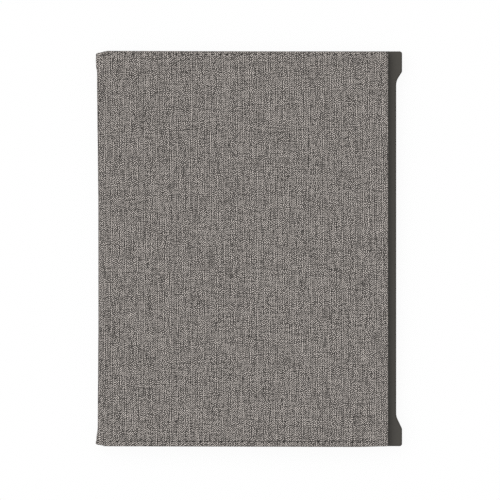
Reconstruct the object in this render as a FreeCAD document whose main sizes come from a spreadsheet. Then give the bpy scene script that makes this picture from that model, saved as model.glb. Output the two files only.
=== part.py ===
import FreeCAD, Part
import Sketcher
import os

# Tablet keyboard case, closed and lying on its back, in millimetres.
# X runs from the spine to the opening edge, Y along the spine, Z up from the table.
# The origin is at the middle of the underside.

SIZES = (
    # The tablet and the tray that holds it
    ("tablet_length", 247.6),
    ("tablet_width", 178.5),
    ("tablet_depth", 6.2),
    ("tablet_clearance", 0.3),
    ("tray_end_wall", 2.2),
    ("spine_side_wall", 3.0),
    ("outer_side_wall", 5.0),
    ("tray_floor", 1.4),
    ("tray_corner_radius", 1.6),
    ("tray_edge_round", 1.2),
    ("lip_thickness", 1.2),
    ("lip_reach", 1.5),
    ("outer_lip_reach", 5.0),
    ("lip_clearance", 0.2),
    ("liner_thickness", 0.4),
    ("liner_margin", 0.5),
    # Corner ears and the slimmer side between them
    ("upper_ear_length", 13.1),
    ("upper_ear_run", 5.9),
    ("lower_ear_length", 11.2),
    ("lower_ear_run", 7.9),
    ("notch_depth", 3.75),
    ("notch_round", 9.0),
    ("ear_round", 1.6),
    # Openings through the tray
    ("camera_window", 22.0),
    ("camera_window_round", 6.0),
    ("camera_inset_x", 17.6),
    ("camera_inset_y", 16.0),
    ("port_slot_length", 90.0),
    ("port_slot_height", 5.0),
    ("port_slot_lift", 0.6),
    # Woven skin
    ("fabric_thickness", 0.8),
    ("fabric_inset", 0.6),
    # Kickstand
    ("recess_depth", 1.4),
    ("kick_rail", 8.0),
    ("kick_edge", 7.0),
    ("kick_reach", 86.0),
    ("kick_plate_thickness", 1.2),
    ("kick_clearance", 0.4),
    ("kick_end_gap", 1.6),
    ("kick_fabric_gap", 2.5),
    ("foot_width", 3.0),
    ("foot_round", 2.0),
    # Kickstand hinges
    ("hinge_offset", 80.0),
    ("knuckle_radius", 0.9),
    ("knuckle_length", 6.0),
    ("knuckle_gap", 0.2),
    ("barrel_clearance", 0.3),
    ("hinge_pin_radius", 0.5),
    ("hinge_pin_clearance", 0.03),
    ("leaf_thickness", 0.6),
    ("leaf_reach", 10.0),
    ("leaf_arm", 1.8),
    ("leaf_clearance", 0.1),
    ("tongue_width", 16.0),
    ("hinge_screw_radius", 0.7),
    ("hinge_screw_head_radius", 1.3),
    ("hinge_screw_head_height", 0.4),
    ("hinge_screw_bite", 1.1),
    ("hinge_screw_spacing", 10.0),
    # Spine
    ("spine_reach", 6.9),
    ("fold_radius", 2.5),
    ("fold_flat", 0.3),
    ("fold_clearance", 0.3),
    ("spine_board_thickness", 1.0),
    ("spine_lining_thickness", 0.5),
    ("spine_board_margin", 0.3),
    ("spine_end_margin", 2.0),
    # Keyboard cover
    ("panel_length", 252.4),
    ("panel_setback", 9.1),
    ("panel_corner_radius", 1.2),
    ("panel_edge_round", 0.7),
    ("closing_gap", 0.3),
    ("rim_height", 1.4),
    ("rim_width", 4.0),
    ("deck_plate", 1.2),
    ("deck_wall", 2.0),
    ("inner_height", 2.6),
    ("base_thickness", 1.0),
    # Keys
    ("key_pitch", 16.8),
    ("row_pitch", 17.0),
    ("function_row_pitch", 10.0),
    ("row_units", 14.5),
    ("key_gap", 2.4),
    ("key_corner_radius", 1.4),
    ("key_proud", 1.25),
    ("key_clearance", 0.3),
    ("key_flange_reach", 0.9),
    ("key_flange_thickness", 0.5),
    ("key_flange_gap", 0.2),
    ("field_margin", 8.0),
    # Switch sheet under the keys
    ("membrane_thickness", 0.5),
    ("membrane_margin", 0.6),
    ("dome_gap", 0.1),
    ("dome_tip_radius", 1.5),
    ("dome_foot_radius", 2.6),
    # Electronics
    ("works_gap", 10.0),
    ("board_length", 60.0),
    ("board_width", 28.0),
    ("board_thickness", 0.8),
    ("board_clearance", 0.3),
    ("tail_width", 16.0),
    ("battery_length", 110.0),
    ("battery_width", 42.0),
    ("battery_thickness", 2.2),
    ("battery_round", 0.8),
    ("battery_board_gap", 13.0),
    ("lead_width", 4.0),
    ("lead_thickness", 0.5),
    ("port_width", 7.5),
    ("port_length", 5.6),
    ("port_height", 2.4),
    ("port_sheet", 0.3),
    ("port_tongue_thickness", 0.6),
    ("port_tongue_margin", 1.2),
    ("port_clearance", 0.1),
    ("lens_radius", 0.8),
    ("lens_inset", 6.0),
    ("lens_depth", 1.6),
    ("magnet_length", 20.0),
    ("magnet_width", 5.0),
    ("magnet_thickness", 1.9),
    ("magnet_offset", 90.0),
    ("magnet_inset", 12.0),
    # Sliding power switch
    ("switch_inset", 26.0),
    ("switch_knob_length", 3.0),
    ("switch_knob_height", 1.4),
    ("switch_knob_sunk", 0.2),
    ("switch_travel", 2.5),
    ("switch_clearance", 0.3),
    ("switch_foot_length", 9.0),
    ("switch_foot_thickness", 1.0),
    ("switch_foot_gap", 0.2),
    # Screws that close the cover
    ("screw_radius", 0.6),
    ("screw_clearance", 0.15),
    ("screw_head_radius", 1.6),
    ("screw_head_height", 0.6),
    ("screw_head_recess", 0.1),
    ("screw_bite", 2.0),
    ("boss_radius", 2.0),
    ("boss_inset_end", 5.4),
    ("boss_inset_side", 4.6),
    ("boss_inset_works", 5.0),
)

PLACES = (
    # Tray outline
    ("tray_half", "Dim.tablet_length / 2 + Dim.tablet_clearance + Dim.tray_end_wall"),
    ("bay_width", "Dim.tablet_width + 2 * Dim.tablet_clearance"),
    ("tray_width", "bay_width + Dim.spine_side_wall + Dim.outer_side_wall"),
    ("tray_right", "(tray_width + Dim.spine_reach) / 2"),
    ("tray_left", "tray_right - tray_width"),
    ("spine_outer", "-tray_right"),
    ("bay_left", "tray_left + Dim.spine_side_wall"),
    ("bay_right", "bay_left + bay_width"),
    ("bay_half", "tray_half - Dim.tray_end_wall"),
    ("bay_middle", "(bay_left + bay_right) / 2"),
    ("notch_floor", "tray_right - Dim.notch_depth"),
    ("upper_ear_end", "tray_half - Dim.upper_ear_length"),
    ("upper_notch_end", "upper_ear_end - Dim.upper_ear_run"),
    ("lower_ear_end", "-tray_half + Dim.lower_ear_length"),
    ("lower_notch_end", "lower_ear_end + Dim.lower_ear_run"),
    ("camera_x", "bay_right - Dim.camera_inset_x"),
    ("camera_y", "bay_half - Dim.camera_inset_y"),
    # Heights of the tray
    ("tray_bottom", "Dim.fabric_thickness"),
    ("recess_top", "tray_bottom + Dim.recess_depth"),
    ("bay_floor", "recess_top + Dim.tray_floor"),
    ("tablet_bottom", "bay_floor + Dim.liner_thickness"),
    ("lip_bottom", "tablet_bottom + Dim.tablet_depth + Dim.lip_clearance"),
    ("tray_top", "lip_bottom + Dim.lip_thickness"),
    # Kickstand
    ("kick_free", "tray_left + Dim.kick_edge"),
    ("kick_axis", "kick_free + Dim.kick_reach"),
    ("kick_end", "kick_axis - Dim.kick_end_gap"),
    ("kick_half", "tray_half - Dim.kick_rail"),
    ("kick_top", "tray_bottom + Dim.kick_plate_thickness"),
    ("kick_fabric_start", "kick_axis + Dim.kick_fabric_gap"),
    ("axis_height", "recess_top - Dim.knuckle_radius"),
    ("bracket_half", "1.5 * Dim.knuckle_length + Dim.knuckle_gap"),
    ("leaf_low", "recess_top - Dim.leaf_thickness"),
    ("tongue_low", "kick_top - Dim.leaf_thickness"),
    # Heights of the keyboard cover
    ("rim_face", "tray_top + Dim.closing_gap"),
    ("deck_face", "rim_face + Dim.rim_height"),
    ("deck_inner", "deck_face + Dim.deck_plate"),
    ("base_inner", "deck_inner + Dim.inner_height"),
    ("base_outer", "base_inner + Dim.base_thickness"),
    ("cover_top", "base_outer + Dim.fabric_thickness"),
    # Spine and cover outline
    ("fold_end", "spine_outer + Dim.fold_radius + Dim.fold_flat"),
    ("panel_left", "fold_end + Dim.fold_clearance"),
    ("panel_right", "tray_right - Dim.panel_setback"),
    ("panel_half", "Dim.panel_length / 2"),
    ("frame_right", "panel_right - Dim.fabric_thickness"),
    ("frame_half", "panel_half - Dim.fabric_thickness"),
    ("cavity_left", "panel_left + Dim.deck_wall"),
    ("cavity_right", "frame_right - Dim.deck_wall"),
    ("cavity_half", "frame_half - Dim.deck_wall"),
    ("well_left", "panel_left + Dim.rim_width"),
    ("well_right", "panel_right - Dim.rim_width"),
    ("well_half", "panel_half - Dim.rim_width"),
    # Key field
    ("field_left", "panel_left + Dim.field_margin"),
    ("field_right", "field_left + Dim.function_row_pitch + 5 * Dim.row_pitch"),
    ("field_half", "Dim.key_pitch * Dim.row_units / 2"),
    ("key_face", "deck_face - Dim.key_proud"),
    ("flange_low", "deck_inner + Dim.key_flange_gap"),
    ("flange_top", "flange_low + Dim.key_flange_thickness"),
    ("dome_low", "flange_top + Dim.dome_gap"),
    ("membrane_low", "base_inner - Dim.membrane_thickness"),
    # Works in the palm rest
    ("works_left", "field_right + Dim.works_gap"),
    ("board_high", "cavity_half - Dim.board_clearance"),
    ("board_low", "board_high - Dim.board_length"),
    ("board_right", "works_left + Dim.board_width"),
    ("board_under", "base_inner - Dim.board_thickness"),
    ("battery_high", "board_low - Dim.battery_board_gap"),
    ("battery_low", "battery_high - Dim.battery_length"),
    ("port_x", "works_left + Dim.board_width / 2"),
    ("port_low", "base_inner - Dim.port_height"),
    ("port_back", "frame_half - Dim.port_length"),
    ("switch_x", "cavity_right - Dim.switch_inset"),
    ("switch_z", "(deck_inner + base_inner) / 2"),
    ("magnet_right", "cavity_right - Dim.magnet_inset"),
    ("boss_left", "panel_left + Dim.boss_inset_side"),
    ("boss_mid", "field_right + Dim.boss_inset_works"),
    ("boss_right", "cavity_right - Dim.boss_inset_side"),
    ("boss_end", "cavity_half - Dim.boss_inset_end"),
)

doc = FreeCAD.newDocument("TabletKeyboardCase")


def fill_sheet(name, rows, prefix):
    """Write names and values in two columns and give each value its alias."""
    sheet = doc.addObject("Spreadsheet::Sheet", name)
    for line, (alias, content) in enumerate(rows, 1):
        sheet.set(f"A{line}", alias)
        sheet.set(f"B{line}", f"{prefix}{content}")
        sheet.setAlias(f"B{line}", alias)
    doc.recompute()
    return sheet


sizes = fill_sheet("Dim", SIZES, "")
places = fill_sheet("Place", PLACES, "=")


def number(expression):
    """The present value of an expression over the two sheets."""
    return float(sizes.evalExpression(expression))


def both_ways(half):
    """A range that is centred on zero."""
    return f"-({half})", half


def about(middle, half):
    """A range that is centred on a middle value."""
    return f"{middle} - ({half})", f"{middle} + ({half})"


# Primitives and booleans

def bind_box(box, x, y, z):
    for size, axis, (low, high) in (("Length", "x", x), ("Width", "y", y), ("Height", "z", z)):
        box.setExpression(size, f"({high}) - ({low})")
        box.setExpression(f"Placement.Base.{axis}", low)
    return box


def block(name, x, y, z):
    return bind_box(doc.addObject("Part::Box", name), x, y, z)


def place(item, x, y, z):
    for axis, expression in (("x", x), ("y", y), ("z", z)):
        item.setExpression(f"Placement.Base.{axis}", expression)
    return item


def post(name, radius, x, y, z):
    """An upright cylinder over the range z."""
    rod = doc.addObject("Part::Cylinder", name)
    rod.setExpression("Radius", radius)
    rod.setExpression("Height", f"({z[1]}) - ({z[0]})")
    return place(rod, x, y, z[0])


def barrel(name, radius, x, y, z):
    """A cylinder along Y over the range y."""
    rod = doc.addObject("Part::Cylinder", name)
    rod.Placement.Rotation = FreeCAD.Rotation(FreeCAD.Vector(1, 0, 0), -90)
    rod.setExpression("Radius", radius)
    rod.setExpression("Height", f"({y[1]}) - ({y[0]})")
    return place(rod, x, y[0], z)


def joined(name, items):
    fuse = doc.addObject("Part::MultiFuse", name)
    fuse.Shapes = items
    fuse.Refine = True
    return fuse


def group(name, items):
    compound = doc.addObject("Part::Compound", name)
    compound.Links = items
    return compound


def cut(name, base, tools):
    result = doc.addObject("Part::Cut", name)
    result.Base = base
    result.Tool = tools[0] if len(tools) == 1 else group(f"{name}_tools", tools)
    result.Refine = True
    return result


def upright(edge):
    box = edge.BoundBox
    return box.XLength + box.YLength < 1e-6


def along_y(edge):
    box = edge.BoundBox
    return box.XLength + box.ZLength < 1e-6


def rounded(name, base, radius, wanted):
    """Fillet the edges of a primitive or boolean that a test picks."""
    base.recompute()
    fillet = doc.addObject("Part::Fillet", name)
    fillet.Base = base
    size = number(radius)
    picked = [index for index, edge in enumerate(base.Shape.Edges, 1) if wanted(edge)]
    fillet.Edges = [(index, size, size) for index in picked]
    return fillet


# Sketched bodies

def new_body(name):
    return doc.addObject("PartDesign::Body", name)


def outline(body, name, height, corners):
    """A closed sketch at a height, with every corner tied to its two expressions."""
    sketch = body.newObject("Sketcher::SketchObject", name)
    plane = next(item for item in body.Origin.OriginFeatures if item.Role == "XY_Plane")
    sketch.AttachmentSupport = [(plane, "")]
    sketch.MapMode = "FlatFace"
    sketch.setExpression("AttachmentOffset.Base.z", height)
    points = [FreeCAD.Vector(number(x), number(y), 0) for x, y in corners]
    count = len(points)
    for index in range(count):
        sketch.addGeometry(Part.LineSegment(points[index], points[(index + 1) % count]), False)
    for index in range(count):
        sketch.addConstraint(Sketcher.Constraint("Coincident", index, 2, (index + 1) % count, 1))
    for index, (corner, point) in enumerate(zip(corners, points)):
        for kind, value, expression in (("DistanceX", point.x, corner[0]), ("DistanceY", point.y, corner[1])):
            tie = sketch.addConstraint(Sketcher.Constraint(kind, -1, 1, index, 1, value))
            sketch.setExpression(f"Constraints[{tie}]", expression)
    return sketch


def rectangle(body, name, height, x, y):
    return outline(body, name, height, ((x[0], y[0]), (x[1], y[0]), (x[1], y[1]), (x[0], y[1])))


def pad(body, name, sketch, length):
    feature = body.newObject("PartDesign::Pad", name)
    feature.Profile = sketch
    feature.setExpression("Length", length)
    return feature


def pocket(body, name, sketch, length):
    """Cut downward from the sketch."""
    feature = body.newObject("PartDesign::Pocket", name)
    feature.Profile = sketch
    feature.setExpression("Length", length)
    return feature


def carve(body, name, x, y, z):
    """Cut a box out of a body."""
    feature = body.newObject("PartDesign::SubtractiveBox", name)
    return bind_box(feature, x, y, z)


def drill(body, name, radius, x, y, z):
    """Cut an upright hole out of a body."""
    feature = body.newObject("PartDesign::SubtractiveCylinder", name)
    feature.setExpression("Radius", radius)
    feature.setExpression("Height", f"({z[1]}) - ({z[0]})")
    return place(feature, x, y, z[0])


def soften(body, name, radius, wanted):
    """Fillet the edges of a body that a test picks."""
    doc.recompute()
    base = body.Tip
    picked = [f"Edge{index}" for index, edge in enumerate(base.Shape.Edges, 1) if wanted(edge)]
    feature = body.newObject("PartDesign::Fillet", name)
    feature.Base = (base, picked)
    feature.setExpression("Radius", radius)
    return feature


def upright_at(corners):
    """A test for upright edges that stand on given corners."""
    spots = [(number(x), number(y)) for x, y in corners]

    def wanted(edge):
        middle = edge.BoundBox.Center
        return upright(edge) and any(abs(middle.x - x) + abs(middle.y - y) < 1e-3 for x, y in spots)

    return wanted


def cut_side_notch(body, inset, top, depth):
    """Set the side back between the two ears and blend the ears into it."""
    outer = f"Place.tray_right - {inset}"
    floor = f"Place.notch_floor - {inset}"
    mouth = (outer, "Place.upper_ear_end"), (outer, "Place.lower_ear_end")
    inner = (floor, "Place.upper_notch_end"), (floor, "Place.lower_notch_end")
    sketch = outline(body, f"{body.Label}_notch", top, (mouth[0], inner[0], inner[1], mouth[1]))
    pocket(body, f"{body.Label}_notch_cut", sketch, depth)
    soften(body, f"{body.Label}_notch_blend", "Dim.notch_round", upright_at(inner))
    soften(body, f"{body.Label}_ear_blend", "Dim.ear_round", upright_at(mouth))


def cut_camera_window(body, top, depth):
    half = "Dim.camera_window / 2"
    x = about("Place.camera_x", half)
    y = about("Place.camera_y", half)
    sketch = rectangle(body, f"{body.Label}_window", top, x, y)
    pocket(body, f"{body.Label}_window_cut", sketch, depth)
    corners = [(x[i], y[j]) for i in (0, 1) for j in (0, 1)]
    soften(body, f"{body.Label}_window_round", "Dim.camera_window_round", upright_at(corners))


HINGES = (("upper", "Dim.hinge_offset"), ("lower", "-Dim.hinge_offset"))
SCREW_SIDES = ("-", "+")


def hinge_screw_spots(side_of_axis):
    """Centres of the fasteners in the hinge leaves on one side of the axis."""
    x = f"Place.kick_axis {side_of_axis} (Dim.leaf_reach + Dim.leaf_arm) / 2"
    for hinge, middle in HINGES:
        for index, sign in enumerate(SCREW_SIDES):
            yield f"{hinge}_{index}", x, f"{middle} {sign} Dim.hinge_screw_spacing / 2"


# Tray: a moulded shell with lips over the tablet's edge, ears at two corners and a recess for the kickstand

def make_tray_shell():
    body = new_body("tray_shell")
    wide = ("Place.tray_left", "Place.tray_right")
    long = both_ways("Place.tray_half")
    height = "Place.tray_top - Place.tray_bottom"
    pad(body, "tray_block", rectangle(body, "tray_outline", "Place.tray_bottom", wide, long), height)
    corners = [(x, y) for x in wide for y in long]
    soften(body, "tray_corners", "Dim.tray_corner_radius", upright_at(corners))
    cut_side_notch(body, "0", "Place.tray_top", height)
    top = number("Place.tray_top")
    soften(body, "tray_top_edge", "Dim.tray_edge_round", lambda edge: edge.BoundBox.ZMin > top - 1e-6)

    bay_x = ("Place.bay_left", "Place.bay_right")
    bay_y = both_ways("Place.bay_half")
    carve(body, "tablet_bay", bay_x, bay_y, ("Place.bay_floor", "Place.lip_bottom"))
    mouth_x = ("Place.bay_left + Dim.lip_reach", "Place.bay_right - Dim.outer_lip_reach")
    mouth_y = both_ways("Place.bay_half - Dim.lip_reach")
    carve(body, "tablet_mouth", mouth_x, mouth_y, ("Place.lip_bottom", "Place.tray_top"))
    slot_x = about("Place.bay_middle", "Dim.port_slot_length / 2")
    slot_low = "Place.tablet_bottom + Dim.port_slot_lift"
    carve(body, "port_slots", slot_x, long, (slot_low, f"{slot_low} + Dim.port_slot_height"))

    recess_x = ("Place.kick_free - Dim.kick_clearance", "Place.kick_fabric_start")
    recess_y = both_ways("Place.kick_half + Dim.kick_clearance")
    carve(body, "kick_recess", recess_x, recess_y, ("Place.tray_bottom", "Place.recess_top"))
    groove_half = "Place.bracket_half + Dim.barrel_clearance"
    for hinge, middle in HINGES:
        leaf_x = ("Place.kick_fabric_start", "Place.kick_axis + Dim.leaf_reach + Dim.leaf_clearance")
        leaf_y = about(middle, "Place.bracket_half + Dim.leaf_clearance")
        carve(body, f"{hinge}_leaf_seat", leaf_x, leaf_y, ("Place.tray_bottom", "Place.recess_top"))
        groove_x = about("Place.kick_axis", "Dim.knuckle_radius + Dim.barrel_clearance")
        groove_z = ("Place.recess_top", "Place.recess_top + Dim.barrel_clearance")
        carve(body, f"{hinge}_barrel_groove", groove_x, about(middle, groove_half), groove_z)
    bite = ("Place.recess_top", "Place.recess_top + Dim.hinge_screw_bite")
    for spot, x, y in hinge_screw_spots("+"):
        drill(body, f"bracket_hole_{spot}", "Dim.hinge_screw_radius", x, y, bite)
    cut_camera_window(body, "Place.bay_floor", "Place.bay_floor - Place.tray_bottom")
    return body


def make_tray_liner():
    body = new_body("tray_liner")
    x = ("Place.bay_left + Dim.liner_margin", "Place.bay_right - Dim.outer_lip_reach")
    y = both_ways("Place.bay_half - Dim.liner_margin")
    pad(body, "liner_sheet", rectangle(body, "liner_outline", "Place.bay_floor", x, y), "Dim.liner_thickness")
    cut_camera_window(body, "Place.tablet_bottom", "Dim.liner_thickness")
    return body


def make_back_fabric():
    body = new_body("back_fabric")
    x = ("Place.panel_left", "Place.tray_right - Dim.fabric_inset")
    y = both_ways("Place.tray_half - Dim.fabric_inset")
    skin = ("0", "Dim.fabric_thickness")
    pad(body, "back_sheet", rectangle(body, "back_outline", "0", x, y), "Dim.fabric_thickness")
    cut_side_notch(body, "Dim.fabric_inset", "Dim.fabric_thickness", "Dim.fabric_thickness")
    window_x = ("Place.kick_free - Dim.kick_clearance", "Place.kick_fabric_start")
    window_y = both_ways("Place.kick_half + Dim.kick_clearance")
    carve(body, "kick_window", window_x, window_y, skin)
    cut_camera_window(body, "Dim.fabric_thickness", "Dim.fabric_thickness")
    return body


# Kickstand: a thin covered plate with a rubber edge, turning on two small pin hinges

def make_hinge_brackets():
    leaf_z = ("Place.leaf_low", "Place.recess_top")
    inner = "Dim.knuckle_length / 2 + Dim.knuckle_gap"
    brackets = []
    for hinge, middle in HINGES:
        tab_x = ("Place.kick_axis + Dim.leaf_arm", "Place.kick_axis + Dim.leaf_reach")
        pieces = [block(f"{hinge}_tab", tab_x, about(middle, "Place.bracket_half"), leaf_z)]
        spans = (
            (f"{middle} - Place.bracket_half", f"{middle} - ({inner})"),
            (f"{middle} + {inner}", f"{middle} + Place.bracket_half"),
        )
        for index, span in enumerate(spans):
            arm_x = ("Place.kick_axis", "Place.kick_axis + Dim.leaf_arm")
            pieces.append(block(f"{hinge}_arm_{index}", arm_x, span, leaf_z))
            name = f"{hinge}_knuckle_{index}"
            pieces.append(barrel(name, "Dim.knuckle_radius", "Place.kick_axis", span, "Place.axis_height"))
        solid = joined(f"{hinge}_bracket_solid", pieces)
        bore_y = about(middle, "Place.bracket_half")
        bore = barrel(f"{hinge}_bore", "Dim.hinge_pin_radius", "Place.kick_axis", bore_y, "Place.axis_height")
        holes = [
            post(f"leaf_hole_{spot}", "Dim.hinge_screw_radius", x, y, leaf_z)
            for spot, x, y in hinge_screw_spots("+") if spot.startswith(hinge)
        ]
        brackets.append(cut(f"{hinge}_bracket", solid, [bore] + holes))
    return group("hinge_brackets", brackets)


def make_hinge_pins():
    pins = [
        barrel(f"{hinge}_pin", "Dim.hinge_pin_radius", "Place.kick_axis",
               about(middle, "Place.bracket_half"), "Place.axis_height")
        for hinge, middle in HINGES
    ]
    return group("hinge_pins", pins)


def make_bracket_screws():
    screws = []
    for spot, x, y in hinge_screw_spots("+"):
        head_z = ("Place.leaf_low - Dim.hinge_screw_head_height", "Place.leaf_low")
        shank_z = ("Place.leaf_low", "Place.recess_top + Dim.hinge_screw_bite")
        head = post(f"bracket_head_{spot}", "Dim.hinge_screw_head_radius", x, y, head_z)
        shank = post(f"bracket_shank_{spot}", "Dim.hinge_screw_radius", x, y, shank_z)
        screws.append(joined(f"bracket_screw_{spot}", [head, shank]))
    return group("bracket_screws", screws)


def make_hinge_tongues():
    leaf_z = ("Place.tongue_low", "Place.kick_top")
    tongues = []
    for hinge, middle in HINGES:
        tab_x = ("Place.kick_axis - Dim.leaf_reach", "Place.kick_axis - Dim.leaf_arm")
        tab = block(f"{hinge}_tongue_tab", tab_x, about(middle, "Dim.tongue_width / 2"), leaf_z)
        span = about(middle, "Dim.knuckle_length / 2")
        arm_x = ("Place.kick_axis - Dim.leaf_arm", "Place.kick_axis")
        arm = block(f"{hinge}_tongue_arm", arm_x, span, leaf_z)
        name = f"{hinge}_tongue_knuckle"
        knuckle = barrel(name, "Dim.knuckle_radius", "Place.kick_axis", span, "Place.axis_height")
        solid = joined(f"{hinge}_tongue_solid", [tab, arm, knuckle])
        bore_radius = "Dim.hinge_pin_radius + Dim.hinge_pin_clearance"
        bore = barrel(f"{hinge}_tongue_bore", bore_radius, "Place.kick_axis", span, "Place.axis_height")
        holes = [
            post(f"tongue_hole_{spot}", "Dim.hinge_screw_radius", x, y, leaf_z)
            for spot, x, y in hinge_screw_spots("-") if spot.startswith(hinge)
        ]
        tongues.append(cut(f"{hinge}_tongue", solid, [bore] + holes))
    return group("hinge_tongues", tongues)


def make_kickstand_plate():
    body = new_body("kickstand_plate")
    x = ("Place.kick_free + Dim.foot_width", "Place.kick_end")
    plate = rectangle(body, "plate_outline", "Place.tray_bottom", x, both_ways("Place.kick_half"))
    pad(body, "plate_sheet", plate, "Dim.kick_plate_thickness")
    seat_x = ("Place.kick_axis - Dim.leaf_reach - Dim.leaf_clearance", "Place.kick_end")
    for hinge, middle in HINGES:
        seat_y = about(middle, "Dim.tongue_width / 2 + Dim.leaf_clearance")
        carve(body, f"{hinge}_tongue_seat", seat_x, seat_y, ("Place.tongue_low", "Place.kick_top"))
    for spot, hole_x, hole_y in hinge_screw_spots("-"):
        through = ("Place.tray_bottom", "Place.kick_top")
        drill(body, f"plate_hole_{spot}", "Dim.hinge_screw_radius", hole_x, hole_y, through)
    return body


def make_tongue_rivets():
    through = ("Place.tray_bottom", "Place.kick_top")
    rivets = [
        post(f"rivet_{spot}", "Dim.hinge_screw_radius", x, y, through)
        for spot, x, y in hinge_screw_spots("-")
    ]
    return group("tongue_rivets", rivets)


def make_kickstand_fabric():
    x = ("Place.kick_free + Dim.foot_width", "Place.kick_end")
    return block("kickstand_fabric", x, both_ways("Place.kick_half"), ("0", "Dim.fabric_thickness"))


def make_kickstand_foot():
    x = ("Place.kick_free", "Place.kick_free + Dim.foot_width")
    strip = block("foot_strip", x, both_ways("Place.kick_half"), ("0", "Place.kick_top"))
    free = number("Place.kick_free")
    return rounded("kickstand_foot", strip, "Dim.foot_round",
                   lambda edge: upright(edge) and edge.BoundBox.XMax < free + 1e-6)


# Spine: fabric folded round a stiff board, with a lining inside

def fold_block(name, inset):
    """A block as high as the closed case with its two spine-side edges rounded."""
    low = f"Place.spine_outer + {inset}"
    x = (low, f"Place.fold_end + {inset}")
    solid = block(f"{name}_block", x, both_ways("Place.panel_half"), (inset, f"Place.cover_top - {inset}"))
    side = number(low)
    return rounded(name, solid, f"Dim.fold_radius - {inset}",
                   lambda edge: along_y(edge) and edge.BoundBox.XMax < side + 1e-6)


def make_spine_fabric():
    outside = fold_block("spine_outside", "0")
    inside = fold_block("spine_inside", "Dim.fabric_thickness")
    return cut("spine_fabric", outside, [inside])


def spine_strip(name, start, thickness):
    low = "Dim.fold_radius + Dim.spine_board_margin"
    x = (start, f"{start} + {thickness}")
    y = both_ways("Place.panel_half - Dim.spine_end_margin")
    return block(name, x, y, (low, f"Place.cover_top - ({low})"))


def make_spine_board():
    return spine_strip("spine_board", "Place.spine_outer + Dim.fabric_thickness", "Dim.spine_board_thickness")


def make_spine_lining():
    start = "Place.spine_outer + Dim.fabric_thickness + Dim.spine_board_thickness"
    return spine_strip("spine_lining", start, "Dim.spine_lining_thickness")


# Keys: each cap stands in its own opening and a wider flange behind the deck keeps it in

FUNCTION_ROW = "Place.field_left"
FIRST_ROW = "Place.field_left + Dim.function_row_pitch"


def row_start(row):
    return f"{FIRST_ROW} + {row} * Dim.row_pitch"


# Each key node: its row range, the column where it starts, the width of a key in pitches and how many keys
FULL = ("0", "Dim.row_pitch")
NEAR_HALF = ("0", "Dim.row_pitch / 2")
FAR_HALF = ("Dim.row_pitch / 2", "Dim.row_pitch")
KEYS = (
    ("function_keys", FUNCTION_ROW, ("0", "Dim.function_row_pitch"), "0", "Dim.row_units / 14", 14),
    ("number_keys", row_start(0), FULL, "0", "1", 13),
    ("backspace_key", row_start(0), FULL, "13", "1.5", 1),
    ("tab_key", row_start(1), FULL, "0", "1.5", 1),
    ("upper_letter_keys", row_start(1), FULL, "1.5", "1", 13),
    ("caps_key", row_start(2), FULL, "0", "1.75", 1),
    ("home_letter_keys", row_start(2), FULL, "1.75", "1", 11),
    ("return_key", row_start(2), FULL, "12.75", "1.75", 1),
    ("left_shift_key", row_start(3), FULL, "0", "2.25", 1),
    ("lower_letter_keys", row_start(3), FULL, "2.25", "1", 10),
    ("right_shift_key", row_start(3), FULL, "12.25", "2.25", 1),
    ("modifier_keys", row_start(4), FULL, "0", "1", 3),
    ("left_meta_key", row_start(4), FULL, "3", "1.25", 1),
    ("space_bar", row_start(4), FULL, "4.25", "5", 1),
    ("right_meta_key", row_start(4), FULL, "9.25", "1.25", 1),
    ("right_alt_key", row_start(4), FULL, "10.5", "1", 1),
    ("left_arrow_key", row_start(4), FULL, "11.5", "1", 1),
    ("up_arrow_key", row_start(4), NEAR_HALF, "12.5", "1", 1),
    ("down_arrow_key", row_start(4), FAR_HALF, "12.5", "1", 1),
    ("right_arrow_key", row_start(4), FULL, "13.5", "1", 1),
)


def key_ranges(start, depth, column, units, index):
    """The room of one key cap along X and Y, with half a gap left on every side."""
    x = (f"{start} + {depth[0]} + Dim.key_gap / 2", f"{start} + {depth[1]} - Dim.key_gap / 2")
    far = f"Place.field_half - Dim.key_pitch * ({column} + {units} * {index})"
    y = (f"{far} - Dim.key_pitch * {units} + Dim.key_gap / 2", f"{far} - Dim.key_gap / 2")
    return x, y


def grown(span, margin):
    return f"{span[0]} - {margin}", f"{span[1]} + {margin}"


def rounded_block(name, x, y, z, radius):
    return rounded(name, block(f"{name}_block", x, y, z), radius, upright)


def make_keys():
    """One group per key node, with the deck openings and the domes that go with the keys."""
    nodes, openings, domes = [], [], []
    for node, start, depth, column, units, count in KEYS:
        keys = []
        for index in range(count):
            name = f"{node}_{index}"
            x, y = key_ranges(start, depth, column, units, index)
            cap_z = ("Place.key_face", "Place.flange_low")
            cap = rounded_block(f"{name}_cap", x, y, cap_z, "Dim.key_corner_radius")
            reach = "Dim.key_flange_reach"
            flange_z = ("Place.flange_low", "Place.flange_top")
            flange = block(f"{name}_flange", grown(x, reach), grown(y, reach), flange_z)
            keys.append(joined(name, [cap, flange]))
            gap = "Dim.key_clearance"
            hole_z = ("Place.deck_face", "Place.deck_inner")
            hole_round = "Dim.key_corner_radius + Dim.key_clearance"
            hole = rounded_block(f"{name}_opening", grown(x, gap), grown(y, gap), hole_z, hole_round)
            openings.append(hole)
            dome = doc.addObject("Part::Cone", f"{name}_dome")
            dome.setExpression("Radius1", "Dim.dome_tip_radius")
            dome.setExpression("Radius2", "Dim.dome_foot_radius")
            dome.setExpression("Height", "Place.membrane_low - Place.dome_low")
            domes.append(place(dome, f"({x[0]} + {x[1]}) / 2", f"({y[0]} + {y[1]}) / 2", "Place.dome_low"))
        nodes.append(group(node, keys))
    return nodes, openings, group("rubber_domes", domes)


# Keyboard cover: a deck with a rim, closed by a base plate and wrapped in fabric on three sides

def right_hand_uprights():
    side = number("Place.frame_right") - number("Dim.panel_corner_radius")
    return lambda edge: upright(edge) and edge.BoundBox.XMin > side


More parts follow.
